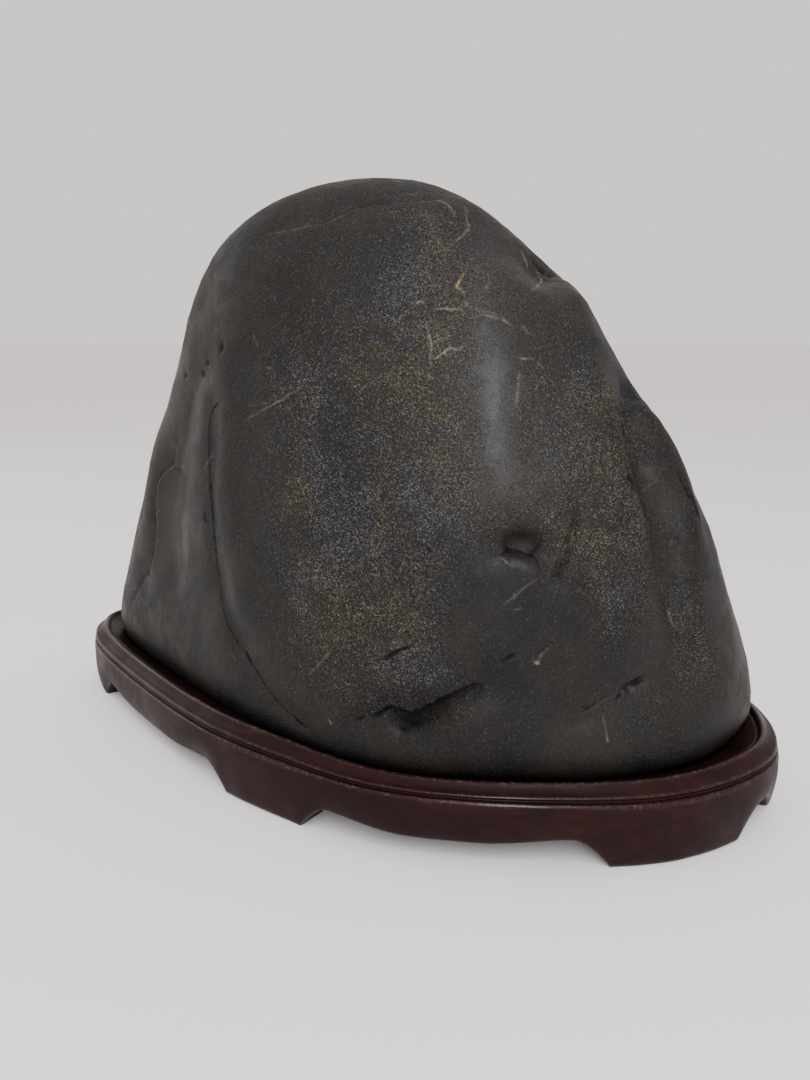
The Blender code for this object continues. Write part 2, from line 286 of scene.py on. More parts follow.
# tan mineral threads: width and strength (over 1 is golden)
threads = {
    "crest": (0.36, 0.75, [(401, 207), (422, 204), (440, 202), (449, 207), (453, 214), (457, 221)]),
    "crest left": (0.4, 0.6, [(325, 225.5), (335, 222), (344, 218), (356, 213.5), (368, 211)]),
    "crest far": (0.36, 0.3, [(262, 235), (285, 232), (304, 229), (318, 226.5)]),
    "top mark": (0.32, 0.6, [(391, 186), (396, 184.5), (402, 186)]),
    "top mark low": (0.32, 0.6, [(404, 199), (412, 197.5), (419, 198)]),
    "long thread": (0.32, 0.55, [(417, 208), (429, 219), (434, 236), (440, 246), (446, 252), (452, 259),
                                 (461, 269), (465, 276)]),
    "right thread": (0.32, 0.75, [(465.5, 208), (466, 220), (468.5, 228), (465, 234), (457, 241),
                                  (448, 249), (434, 254)]),
    "golden thread": (0.38, 1.35, [(465, 274), (460, 283), (456, 289), (461, 292), (464, 296)]),
    "golden spot": (0.5, 1.25, [(466, 304), (466, 307)]),
    "left spots": (0.5, 0.9, [(415, 305), (420, 301), (424, 303)]),
    "level thread": (0.32, 0.8, [(430, 310), (440, 308.5), (452, 311), (463, 311.5), (464, 317)]),
    "level thread right": (0.32, 0.75, [(470, 321), (483, 318), (495, 320), (506, 324), (512, 328)]),
    "level thread upper": (0.32, 0.5, [(477, 314), (489, 315), (497, 318)]),
    "upright thread": (0.36, 0.9, [(426, 321), (429, 335), (432, 346), (430, 357), (432, 368)]),
    "short thread": (0.32, 0.7, [(432, 343), (442, 339), (449, 337.5)]),
    "low thread": (0.36, 0.95, [(434, 360), (443, 354), (451, 348), (457, 352), (465, 347.5)]),
    "cross mark": (0.34, 0.8, [(519, 360), (532, 359)]),
    "hanging mark": (0.32, 0.5, [(519, 373), (517, 390), (516, 409)]),
    "cross mark right": (0.32, 0.55, [(536, 363), (544, 367.5)]),
    "cross mark upper": (0.32, 0.5, [(520, 326), (529, 335)]),
    "notch rim": (0.32, 0.8, [(521, 250), (526, 262), (527.5, 270)]),
    "notch lip": (0.34, 0.85, [(534, 265), (538, 276), (542, 283), (535, 289), (530, 292)]),
    "arc": (0.32, 0.4, [(492, 274), (488, 286), (485, 300)]),
    "eye sill line": (0.32, 0.4, [(501, 558), (507, 563), (513, 568)]),
    "eye slant": (0.32, 0.28, [(538, 578), (523, 588), (513, 598), (504, 604)]),
    "eye groove edge": (0.32, 0.5, [(575, 523), (572, 538), (570, 551)]),
    "fleck": (0.42, 1.25, [(534, 661), (537, 664), (539, 661)]),
    "fleck streak": (0.5, 0.3, [(537, 662), (542, 652), (550, 644)]),
    "valley marks": (0.32, 0.3, [(667, 649), (659, 661), (651, 671)]),
    "valley marks right": (0.32, 0.45, [(671, 654), (669, 664)]),
    "lobe mark": (0.32, 0.5, [(674, 609), (677, 623)]),
    "left mark": (0.32, 0.35, [(243, 421), (271, 406), (302, 387)]),
    "left mark upper": (0.32, 0.3, [(248, 406), (271, 403)]),
    "low left mark": (0.32, 0.4, [(332, 649), (321, 662), (309, 675)]),
    "foot mark": (0.32, 0.5, [(329, 719), (331, 725)]),
    "lobe rim": (0.6, 0.5, [(176, 464), (163, 473), (157.5, 485), (156, 506), (157, 534), (152, 560)]),
}

# one pale scratch: width and path
chalkScratch = (0.26, [(600.5, 704), (602.5, 717), (605.5, 729), (607.5, 741)])

# marks round the sides the camera misses: bearing and height of each point
backCracks = {
    "back seam": (0.48, 1.02, [(74, 196), (79, 172), (76, 148), (84, 118), (81, 92), (86, 60)]),
    "back branch": (0.36, 0.66, [(79, 172), (90, 158), (97, 140), (99, 118)]),
    "end seam": (0.42, 0.78, [(14, 132), (20, 108), (16, 84), (24, 60)]),
    "left end seam": (0.42, 0.78, [(168, 150), (163, 120), (170, 92), (166, 62)]),
    "back nick": (0.54, 0.84, [(112, 92), (118, 86), (122, 78)]),
    "shoulder nick": (0.48, 0.66, [(42, 150), (50, 142)]),
}
backLedges = {
    "back ledge": (4.0, 2.2, 0.8, [(132, 84), (122, 80), (112, 76), (101, 78)]),
    "back lip": (3.4, 1.8, 0.6, [(70, 112), (62, 104), (55, 106), (48, 100)]),
    "end ledge": (3.0, 1.4, 0.5, [(34, 74), (25, 68), (16, 70)]),
}
backFolds = {
    "back swell": (16.0, 1.8, [(118, 170), (114, 130), (108, 96)]),
    "back slack": (10.0, -2.0, [(96, 182), (92, 150), (95, 112), (100, 84)]),
    "shoulder slack": (9.0, -1.8, [(52, 176), (46, 150), (38, 122), (34, 92)]),
    "end swell": (12.0, 1.6, [(22, 140), (14, 104), (8, 70)]),
    "left end slack": (10.0, -1.6, [(156, 170), (160, 130), (156, 92)]),
    "left end swell": (11.0, 1.4, [(138, 150), (142, 110), (140, 76)]),
}
backThreads = {
    "back thread": (0.32, 0.48, [(92, 190), (96, 172), (90, 156), (95, 138)]),
    "back level thread": (0.32, 0.42, [(60, 150), (68, 146), (76, 149), (86, 144)]),
    "left thread": (0.31, 0.42, [(140, 150), (146, 132), (142, 112)]),
    "end thread": (0.31, 0.42, [(34, 118), (30, 100), (36, 82)]),
    "back golden thread": (0.45, 1.33, [(70, 128), (73, 120), (71, 112)]),
}

# small dents and short threads strewn all round
scatter = {"seed": 11, "dents": 46, "dentRadius": (1.0, 3.2), "dentDepth": (0.12, 0.5),
           "marks": 70, "markLength": (3, 11), "markWidth": 0.26, "markStrength": (0.12, 0.4)}

# broad tones: reach across, strength, and places in the camera's frame
tones = {
    "speckle": [(120, 0.30, [(400, 300), (440, 640)]),
                (5, -0.6, [(513, 562), (522, 564), (531, 570)]),
                # fewer flecks darken the upper eye hollow: painted shade
                (4.5, -0.7, [(510, 545), (521, 540), (532, 546)]),
                (18, 0.4, [(420, 215), (440, 260), (450, 290)]),
                (24, -0.5, [(165, 440), (170, 500), (165, 570), (200, 650)]),
                (30, 0.7, [(430, 330), (440, 400), (420, 480), (400, 560), (390, 620)]),
                (18, -0.2, [(400, 600), (430, 650)]),
                (22, 0.3, [(560, 400), (570, 470), (480, 640), (440, 660)]),
                (11, -0.45, [(488, 300), (495, 360), (500, 430), (506, 490)]),
                (16, -0.3, [(545, 340), (552, 400), (548, 460)]),
                (24, 0.9, [(600, 440), (625, 510), (630, 580), (615, 640)]),
                (20, 0.55, [(300, 390), (300, 500), (320, 620)]),
                (16, 0.2, [(560, 330), (590, 380)]),
                (12, 0.6, [(690, 620), (700, 660)]),
                (16, -0.95, [(490, 595), (520, 622), (560, 622)]),
                # these three thin the flecks along the stone's foot so that it darkens towards the
                # bottom: painted shade
                (13, -0.8, [(560, 690), (600, 740), (520, 740)]),
                (10, -0.5, [(320, 738), (380, 750), (440, 756)]),
                (11, -0.8, [(480, 650), (540, 665), (600, 675), (650, 660)]),
                (10, -0.6, [(655, 480), (662, 560), (655, 640)])],
    # polish lowers the roughness and pales the colour; the paler colour is a painted sheen on the left
    # face, the sheen stripe, the eye's sill, the right shoulder and the valley
    "polish": [(21, 0.6, [(190, 400), (186, 460), (182, 530)]),
               (5, 0.4, [(513, 562), (522, 564), (531, 570)]),
               (8, 0.6, [(168, 500), (164, 550), (150, 578)]),
               (8, 0.5, [(556, 292), (575, 312)]),
               (18, 0.85, [(488, 290), (494, 350), (502, 420), (514, 490)]),
               (12, 0.45, [(655, 500), (662, 560), (655, 640)]),
               (16, 0.3, [(590, 730), (660, 700)])],
    "brown": [(16, 0.9, [(300, 215), (350, 200), (400, 195)]),
              (18, 0.6, [(340, 300), (350, 350)]),
              (14, 0.5, [(380, 560), (430, 500)]),
              (14, 0.5, [(240, 640), (300, 700), (360, 690)]),
              (9, 0.8, [(655, 480), (662, 560), (655, 640)]),
              (8, 0.9, [(513, 540), (530, 540), (545, 560)]),
              (8, 0.9, [(600, 705), (620, 700)])],
    # the first cool patch tints the sheen stripe bluish like the light it reflects: painted sheen colour
    "cool": [(20, 0.9, [(500, 280), (500, 360), (500, 440)]),
             (16, 0.6, [(490, 580), (540, 620), (580, 560)]),
             (14, 0.5, [(460, 230), (420, 250)])],
}


def rounded(path):
    # cuts a path's corners twice, so that it bends like a natural seam
    for _ in range(2):
        if len(path) > 2:
            middle = [spot for a, b in zip(path, path[1:])
                      for spot in (tuple(0.75 * u + 0.25 * v for u, v in zip(a, b)),
                                   tuple(0.25 * u + 0.75 * v for u, v in zip(a, b)))]
            path = [path[0], *middle[1:-1], path[-1]]
    return path


def resolveMarks(tree):
    # places every named mark on the stone
    def drop(find, path):
        hits = (find(tree, *spot) for spot in rounded(path))
        return [hit for hit in hits if hit is not None]

    kinds = {"cracks": (cracks, backCracks), "ledges": (ledges, backLedges), "folds": (folds, backFolds),
             "pits": (pits, {}), "threads": (threads, backThreads)}
    placed = {}
    for kind, (seen, unseen) in kinds.items():
        marks = [(*sizes, drop(seenAt, path)) for *sizes, path in seen.values()]
        marks += [(*sizes, drop(foundAt, path)) for *sizes, path in unseen.values()]
        placed[kind] = [mark for mark in marks if mark[-1]]
    width, path = chalkScratch
    placed["chalk"] = (width, drop(seenAt, path))
    placed["tones"] = {name: [(reach, strength, drop(seenAt, path)) for reach, strength, path in blobs]
                       for name, blobs in tones.items()}
    return placed


def scatterMarks(tree, placed):
    # adds the strewn dents and threads to the named ones
    dice = random.Random(scatter["seed"])
    for _ in range(scatter["dents"]):
        spot = foundAt(tree, dice.uniform(0, 360), dice.uniform(34, 205))
        radius, depth = dice.uniform(*scatter["dentRadius"]), dice.uniform(*scatter["dentDepth"])
        if spot is not None:
            placed["pits"].append((radius, depth, [spot]))
    for _ in range(scatter["marks"]):
        bearing, height = dice.uniform(0, 360), dice.uniform(40, 215)
        length, slant = dice.uniform(*scatter["markLength"]), dice.uniform(0, math.tau)
        strength = dice.uniform(*scatter["markStrength"])
        path = []
        for share in (0.0, 0.5, 1.0):
            bend = slant + (share - 0.5) * dice.uniform(-0.7, 0.7)
            path.append(foundAt(tree, bearing + share * length * math.cos(bend) * 0.5,
                                height + share * length * math.sin(bend)))
        if all(hit is not None for hit in path):
            placed["threads"].append((scatter["markWidth"], strength, path))


def refineNear(shape, paths, reach):
    # halves the edges that lie within reach of a path
    points, normals = pointsOf(shape), normalsOf(shape)
    near = np.zeros(len(points), bool)
    for path in paths:
        close, distance, _, _ = layAround(points, normals, path, reach)
        near[close[distance < reach]] = True
    shape.verts.index_update()
    edges = [edge for edge in shape.edges if all(near[vert.index] for vert in edge.verts)]
    bmesh.ops.subdivide_edges(shape, edges=edges, cuts=1, use_grid_fill=True)
    bmesh.ops.triangulate(shape, faces=[face for face in shape.faces if len(face.verts) > 4])
    shape.verts.index_update()


def wearStone(points, normals):
    # the low swells that water leaves all over
    lift = np.zeros(len(points))
    for size, height in stone["lumps"]:
        lift += height * roughness(points, size)
    return points + normals * lift[:, None]


def carveMarks(points, normals, placed):
    # returns how far each point moves along its normal, and the painted marks; the dark one is painted
    # shade in cracks, in deep pits and below ledges
    lift = np.zeros(len(points))
    paint = {name: np.zeros(len(points)) for name in ("shadeAndDirt", "thread", "gold", "chalk")}

    def stain(name, close, amount):
        paint[name][close] = np.maximum(paint[name][close], amount)

    for width, depth, path in placed["cracks"]:
        close, distance, _, along = layAround(points, normals, path, 8 * width)
        distance = np.abs(distance + stone["ragged"] * width * roughness(points[close], 2.6, 2))
        ends = np.sin(math.pi * np.clip(along, 0.02, 0.98)) ** 0.4
        lip = np.exp(-((distance - 2.4 * width) / (1.4 * width)) ** 2)
        lift[close] += depth * ends * (stone["crackLip"] * lip - np.exp(-(distance / width) ** 2))
        # painted shade down the crack
        stain("shadeAndDirt", close, ends * np.exp(-(distance / (0.95 * width)) ** 2))
    for run, depth, rise, path in placed["ledges"]:
        close, distance, side, along = layAround(points, normals, path, 4 * run)
        offset = distance * side + 0.5 * roughness(points[close], 3.4, 2)
        below, above = np.maximum(-offset, 0.0), np.maximum(offset, 0.0)
        ends = np.sin(math.pi * np.clip(along, 0.0, 1.0)) ** 0.5
        low = np.exp(-(below / run) ** 1.3) * softStep(-offset, -0.35, 0.75)
        high = np.exp(-(above / (1.2 * run)) ** 1.5) * softStep(offset, -0.4, 0.6)
        shade = np.exp(-(below / (0.45 * run)) ** 2) * softStep(-offset, -0.3, 0.5)
        lift[close] += ends * (rise * high - depth * low)
        # painted shade below the ledge's fall
        stain("shadeAndDirt", close, min(1.0, depth / 2.0) * ends * shade)
    for reach, height, path in placed["folds"]:
        close, distance, _, along = layAround(points, normals, path, 3 * reach)
        ends = softStep(np.minimum(along, 1.0 - along), -0.02, 0.22)
        lift[close] += height * ends * np.exp(-(distance / reach) ** 2)
    for radius, depth, path in placed["pits"]:
        close, distance, _, _ = layAround(points, normals, path, 3.5 * radius)
        distance = distance * (1.0 + stone["pitRagged"] * roughness(points[close], 2.4, 2))
        dip = np.exp(-(distance / radius) ** 2)
        lift[close] -= depth * dip
        # painted shade in the deeper pits
        if depth > stone["shadedDepth"]:
            stain("shadeAndDirt", close, min(1.0, depth / 2.2) * dip ** 1.5)
    for width, strength, path in placed["threads"]:
        close, distance, _, along = layAround(points, normals, path, 6 * width + 1)
        distance = distance + stone["threadRagged"] * width * roughness(points[close], 1.5, 3)
        ends = np.sin(math.pi * np.clip(along, 0.03, 0.97)) ** 0.5
        broken = np.clip(0.85 + 0.5 * roughness(points[close], 2.2, 2), 0.3, 1.0)
        line = ends * broken * np.exp(-(distance / width) ** 2)
        stain("thread", close, min(strength, 1.0) * line)
        stain("gold", close, max(0.0, strength - 1.0) * line)
    width, path = placed["chalk"]
    close, distance, _, along = layAround(points, normals, path, 6)
    line = np.exp(-(distance / width) ** 2) * (0.35 + 0.65 * softStep(along, 0.15, 0.5))
    paint["chalk"][close] = stone["chalkStrength"] * line
    lift -= stone["chalkDepth"] * paint["chalk"]
    return lift, paint


def paintTones(points, placed):
    # how speckled, polished, brown and bluish the stone is at each point; where polished it is also
    # painted paler as a painted sheen
    tone = {}
    for name, blobs in placed["tones"].items():
        amount = np.zeros(len(points))
        for reach, strength, path in blobs:
            distance, _, _ = layAgainst(points, np.zeros_like(points), path)
            amount += strength * np.exp(-(distance / reach) ** 2)
        tone[name] = amount
    # the unseen sides carry the same finish in drifting patches
    behind = softStep(points[:, 1], 5.0, 45.0)
    tone["speckle"] += behind * (0.6 + 0.7 * roughness(points, 45, 2))
    tone["brown"] += behind * (0.30 + 0.6 * roughness(points + 90.0, 38, 2))
    tone["cool"] += behind * (0.20 + 0.6 * roughness(points - 70.0, 42, 2))
    tone["polish"] += behind * 0.35
    return {name: np.clip(amount, 0.0, 1.0) for name, amount in tone.items()}


def storeColours(mesh, name, columns):
    layer = mesh.color_attributes.new(name, "FLOAT_COLOR", "POINT")
    values = np.ones((len(mesh.vertices), 4), np.float32)
    for i, column in enumerate(columns):
        values[:, i] = column
    layer.data.foreach_set("color", values.ravel())


def makeStone(material):
    shape = subdivided(meshOf("rock"), stone["smoothing"])
    tree = BVHTree.FromBMesh(shape)
    placed = resolveMarks(tree)
    scatterMarks(tree, placed)
    linePaths = [mark[-1] for kind in ("cracks", "threads") for mark in placed[kind]]
    linePaths.append(placed["chalk"][-1])
    finePaths = linePaths + [mark[-1] for mark in placed["ledges"]]
    finePaths += [mark[-1] for mark in placed["pits"] if abs(mark[1]) > 0.5]
    for reach in stone["fineReach"]:
        refineNear(shape, finePaths, reach)
    refineNear(shape, linePaths, stone["lineReach"])
    points, normals = pointsOf(shape), normalsOf(shape)
    points = wearStone(points, normals)
    lift, paint = carveMarks(points, normals, placed)
    tone = paintTones(points, placed)
    points += normals * lift[:, None]
    for vert, point in zip(shape.verts, points * mm):
        vert.co = point
    bmesh.ops.recalc_face_normals(shape, faces=shape.faces)
    stoneTree = BVHTree.FromBMesh(shape)
    piece = makePiece("finishedStone", shape, material)
    storeColours(piece.data, "marks", [paint[name] for name in ("shadeAndDirt", "thread", "gold", "chalk")])
    storeColours(piece.data, "tones", [tone[name] for name in ("speckle", "polish", "brown", "cool")])
    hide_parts("rock")
    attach(piece, "root")
    print("stone:", sum(len(face.vertices) - 2 for face in piece.data.polygons), "triangles")
    return stoneTree


# the stand
stand = {
    "steps": 560,                   # points round the stand
    "outlineLevel": 18.5,           # where the solid's outline is taken
    "ridge": 31.8,                  # top of the rim
    "grooveLevel": 24.8,
    "lipInset": 10.0,               # the rim's inner lip
    "rimDip": (305.0, 32.0, 2.4),   # bearing, reach and depth of the rim's low stretch
    "rubbed": (20.0, 55.0, 0.85),   # bearing, reach and share by which the right end's lip loses its dark wax and painted shade
    "footHeight": 10.4,             # clear height under the apron, beside the feet
    "archSag": 2.4,
    "shoulder": 13.0,               # length of the slanting shoulder at each side of a foot
    "sagRun": 32.0,
    "hollow": 11.5,                 # clear height behind the feet
    "footDepth": 17.0,
    "seatGap": 1.5,                 # shadow gap round the stone
    "seatLevels": (28.9, 27.0, 25.0, 23.0, 21.2),
    "seatFloor": (18.6, 6.0),       # level of the seat's floor and its inset from the wall above
    "seatLimit": 60.0,              # the seat's wall is never farther in than this
    "handWobble": 0.16,             # unevenness left by the knife
}
# each foot is a stretch of the outline between two bearings
feet = {
    "front": (248, 276),
    "front right": (329.5, 348),
    "right": (358.5, 371),
    "back": (83, 103),
    "back left": (152, 164),
    "left": (178, 187),
}
# rim and apron from the lip outwards and down: inset, height, edge wear, and darkening (dark wax in the
# grooves, painted shade on the lip by the stone and on the underside)
rimProfile = [
    (10.0, 29.5, 0.0, 0.3), (9.3, 30.0, 0.2, 0.0), (8.8, 30.2, 0.1, 0.2), (8.45, 29.6, 0.0, 1.0),
    (8.15, 29.7, 0.0, 1.0), (7.8, 30.7, 0.2, 0.2), (7.3, 31.4, 0.6, 0.0), (6.7, 31.75, 1.0, 0.0),
    (6.1, 31.8, 1.0, 0.0), (5.6, 31.5, 0.8, 0.0), (5.1, 30.8, 0.3, 0.0), (4.4, 29.9, 0.0, 0.0),
    (3.6, 29.1, 0.0, 0.0), (2.8, 28.5, 0.0, 0.0), (2.1, 28.15, 0.1, 0.0), (1.5, 27.9, 0.7, 0.0),
    (1.05, 27.5, 0.9, 0.0), (0.95, 27.05, 0.4, 0.0), (1.3, 26.75, 0.0, 0.6), (1.75, 26.6, 0.0, 1.0),
    (1.75, 26.35, 0.0, 1.0), (1.25, 26.15, 0.1, 0.5), (1.0, 25.85, 0.4, 0.1), (1.2, 25.55, 0.1, 0.4),
    (1.9, 25.35, 0.0, 1.0), (1.95, 24.95, 0.0, 1.0), (1.2, 24.7, 0.2, 0.5), (0.7, 24.4, 0.9, 0.0),
    (0.35, 23.9, 1.0, 0.0), (0.15, 23.1, 0.5, 0.0), (0.05, 21.8, 0.0, 0.0), (0.0, 19.5, 0.0, 0.0),
    (-0.05, 17.0, 0.0, 0.0), (-0.05, 14.0, 0.0, 0.0), (0.1, 11.0, 0.0, 0.0), (0.4, 8.0, 0.0, 0.0),
    (0.8, 5.5, 0.0, 0.0), (1.2, 3.5, 0.0, 0.0), (1.6, 1.9, 0.2, 0.0), (2.0, 0.9, 0.6, 0.0),
    (2.5, 0.3, 0.9, 0.0), (3.2, 0.0, 0.4, 0.3), (5.0, 0.0, 0.0, 0.6), (15.0, 0.0, 0.0, 0.6),
    (16.4, 0.15, 0.0, 0.6), (17.0, 0.8, 0.0, 0.6),
]


def standOutline():
    # the stand's widest outline, taken from the solid just above its middle
    shape = meshOf("stand")
    whole = shape.verts[:] + shape.edges[:] + shape.faces[:]
    level = (0, 0, stand["outlineLevel"] * mm)
    cut = bmesh.ops.bisect_plane(shape, geom=whole, plane_co=level, plane_no=(0, 0, 1))["geom_cut"]
    ring = np.array([item.co[:2] for item in cut if isinstance(item, bmesh.types.BMVert)]) / mm
    shape.free()
    bearings = bearingsOf(ring)
    reach = np.linalg.norm(ring, axis=1)
    order = np.argsort(bearings)
    bearings, reach = bearings[order], reach[order]
    # the cut also meets the seat inside, so only its outermost points count
    farthest = [reach[np.abs((bearings - bearing + 180) % 360 - 180) < 4].max() for bearing in bearings]
    outer = reach > 0.93 * np.array(farthest)
    fine = np.linspace(0, 360, 2880, endpoint=False)
    even = np.interp(fine, bearings[outer], reach[outer], period=360)
    window = np.hanning(41) / np.hanning(41).sum()
    even = np.convolve(np.concatenate([even[-20:], even, even[:20]]), window, mode="valid")
    dense = np.stack([even * np.cos(np.radians(fine)), even * np.sin(np.radians(fine))], axis=1)
    closed = np.vstack([dense, dense[:1]])
    run = np.concatenate([[0.0], np.cumsum(np.linalg.norm(np.diff(closed, axis=0), axis=1))])
    spots = np.linspace(0.0, run[-1], stand["steps"], endpoint=False)
    return np.stack([np.interp(spots, run, closed[:, axis]) for axis in (0, 1)], axis=1)


def bearingsOf(outline):
    return np.degrees(np.arctan2(outline[:, 1], outline[:, 0])) % 360


def swellAt(bearings, middle, reach, height):
    away = (bearings - middle + 180) % 360 - 180
    return height * np.exp(-(away / reach) ** 2)


def inwardsOf(outline):
    # the level direction into the stand, at each point of its outline
    along = np.roll(outline, -2, axis=0) - np.roll(outline, 2, axis=0)
    along /= np.linalg.norm(along, axis=1)[:, None]
    return np.stack([-along[:, 1], along[:, 0]], axis=1)


def archLifts(outline, bearings):
    # how far the apron's foot is raised between the feet
    onFoot = np.zeros(len(outline), bool)
    for start, end in feet.values():
        onFoot |= (bearings - start) % 360 <= (end - start) % 360
    apart = np.linalg.norm(outline[:, None] - outline[None, onFoot], axis=2).min(axis=1)
    share = np.minimum(apart / stand["shoulder"], 1.0)
    rise = 1.0 - (1.0 - share) ** 1.6
    sag = softStep(apart, stand["shoulder"], stand["shoulder"] + stand["sagRun"])
    return stand["footHeight"] * rise - stand["archSag"] * sag


def makeStand(material, stoneTree):
    outline = standOutline()
    inwards, bearings = inwardsOf(outline), bearingsOf(outline)
    lifts = archLifts(outline, bearings)
    dips = swellAt(bearings, *stand["rimDip"])
    rubbed = swellAt(bearings, *stand["rubbed"])
    steps = len(outline)

    def seatReach(height):
        # how far in from the outline the stone begins, at this height
        reaches = []
        for spot, inward in zip(outline, inwards):
            start = Vector((*spot, height)) * mm
            hit, _, _, distance = stoneTree.ray_cast(start, Vector((*inward, 0)))
            reaches.append(distance / mm if hit else 1e3)
        return np.array(reaches)

    topReach = seatReach(30.0) - stand["seatGap"]
    shape = bmesh.new()
    wearLayer = shape.verts.layers.float.new("edgeWear")
    waxAndShadeLayer = shape.verts.layers.float.new("waxAndShadeMask")
    bmesh.ops.create_circle(shape, cap_ends=False, segments=steps, radius=1.0)
    lip = list(shape.verts)

    def place(ringVerts, insets, heights, wear, waxAndShade):
        wobble = [noise.noise(Vector((*spot, height)) / 9.0) for spot, height in zip(outline, heights)]
        for i, vert in enumerate(ringVerts):
            inset = insets[i] + stand["handWobble"] * wobble[i]
            spot = outline[i] + inwards[i] * inset
            onLip = inset > 8.0 and heights[i] > 24.0
            vert.co = Vector((*spot, heights[i])) * mm
            vert[wearLayer] = wear
            # dark wax and painted shade, less on the rubbed stretch of the lip
            vert[waxAndShadeLayer] = waxAndShade * (1.0 - rubbed[i]) if onLip else waxAndShade

    def nextRing(ringVerts):
        # extrudes the ring and returns the new one in the same order
        edges = [shape.edges.get((ringVerts[i], ringVerts[(i + 1) % steps])) for i in range(steps)]
        grown = bmesh.ops.extrude_edge_only(shape, edges=edges)
        order = {vert: i for i, vert in enumerate(ringVerts)}
        following = [None] * steps
        for item in grown["geom"]:
            if isinstance(item, bmesh.types.BMVert):
                for edge in item.link_edges:
                    other = edge.other_vert(item)
                    if other in order:
                        following[order[other]] = item
        return following

    def ringHeights(height):
        # the arches fade out up to the groove, and the dip fades in from there to the ridge
        archShare = max(0.0, 1.0 - height / stand["grooveLevel"])
        rimShare = max(0.0, (height - stand["grooveLevel"]) / (stand["ridge"] - stand["grooveLevel"]))
        return height + lifts * archShare - dips * rimShare

    def allRound(value):
        return np.full(steps, value)

    # the rim and the apron, from the lip outwards and down, then the hollow behind the feet
    ring = lip
    for number, (inset, height, wear, waxAndShade) in enumerate(rimProfile):
        if number:
            ring = nextRing(ring)
        insets = allRound(inset)
        if inset > 6.0 and height > 29.0:
            # the ridge gives way where the stone comes close
            insets = np.minimum(inset, topReach - 0.225 * (stand["lipInset"] - inset))
        place(ring, insets, ringHeights(height), wear, waxAndShade)
    ring = nextRing(ring)
    # the hollow behind the feet is darkened with painted shade
    place(ring, allRound(stand["footDepth"] + 1.0), allRound(stand["hollow"]), 0.0, 0.8)
    bmesh.ops.contextual_create(shape, geom=ring)
    # the seat: down the inside, following the stone, darkened with painted shade
    ring = lip
    for level in stand["seatLevels"]:
        ring = nextRing(ring)
        reach = np.minimum(seatReach(level) - stand["seatGap"], stand["seatLimit"])
        place(ring, reach, level - dips * (level - 21.0) / 10.0, 0.0, 0.7)
    ring = nextRing(ring)
    floorLevel, floorInset = stand["seatFloor"]
    place(ring, reach + floorInset, allRound(floorLevel), 0.0, 0.7)
    bmesh.ops.contextual_create(shape, geom=ring)
    bmesh.ops.recalc_face_normals(shape, faces=shape.faces)
    piece = makePiece("finishedStand", shape, material)
    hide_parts("stand")
    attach(piece, "root")
    print("stand:", sum(len(face.vertices) - 2 for face in piece.data.polygons), "triangles")


def feed(tree, target, value):
    if hasattr(value, "is_output"):
        tree.links.new(value, target)
    elif isinstance(value, (tuple, list)) and len(value) == 3 and target.type == "RGBA":
        target.default_value = (*value, 1.0)
    else:
        target.default_value = value


def addNode(tree, kind, inputs=None, **settings):
    node = tree.nodes.new(kind)
    for name, value in settings.items():
        setattr(node, name, value)
    for name, value in (inputs or {}).items():
        feed(tree, node.inputs[name], value)
    return node


def noiseOf(tree, vector, scale, detail=3.0, rough=0.55, distortion=0.0):
    node = addNode(tree, "ShaderNodeTexNoise", {"Vector": vector, "Scale": scale, "Detail": detail,
                                                "Roughness": rough, "Distortion": distortion})
    return node.outputs["Fac"]


def ramp(tree, value, low, high, toLow=0.0, toHigh=1.0):
    node = addNode(tree, "ShaderNodeMapRange", {"Value": value, "From Min": low, "From Max": high,
                                                "To Min": toLow, "To Max": toHigh},
                   interpolation_type="SMOOTHSTEP")
    return node.outputs["Result"]


def maths(tree, operation, first, second=0.0, third=0.0, clamp=False):
    node = addNode(tree, "ShaderNodeMath", {0: first, 1: second, 2: third},
                   operation=operation, use_clamp=clamp)
    return node.outputs["Value"]


def times(tree, first, second):
    return maths(tree, "MULTIPLY", first, second)


def blend(tree, factor, first, second):
    node = addNode(tree, "ShaderNodeMix", {0: factor, 6: first, 7: second}, data_type="RGBA")
    return node.outputs[2]


def stretched(tree, vector, scale, turn=None):
    # turned first, then scaled, so that the grain runs along the turned axis
    if turn:
        turned = addNode(tree, "ShaderNodeMapping", {"Vector": vector, "Rotation": turn})
        vector = turned.outputs["Vector"]
    return addNode(tree, "ShaderNodeMapping", {"Vector": vector, "Scale": scale}).outputs["Vector"]


def newGroup(name, inputs, outputs):
    group = bpy.data.node_groups.new(name, "ShaderNodeTree")
    for label, kind, value in inputs:
        socket = group.interface.new_socket(name=label, in_out="INPUT", socket_type=kind)
        if value is not None:
            socket.default_value = value
    for label, kind in outputs:
        group.interface.new_socket(name=label, in_out="OUTPUT", socket_type=kind)
    return group, group.nodes.new("NodeGroupInput").outputs, group.nodes.new("NodeGroupOutput").inputs


def useGroup(tree, group, inputs):
    node = addNode(tree, "ShaderNodeGroup", node_tree=group)
    for name, value in inputs.items():
        feed(tree, node.inputs[name], value)
    return node.outputs


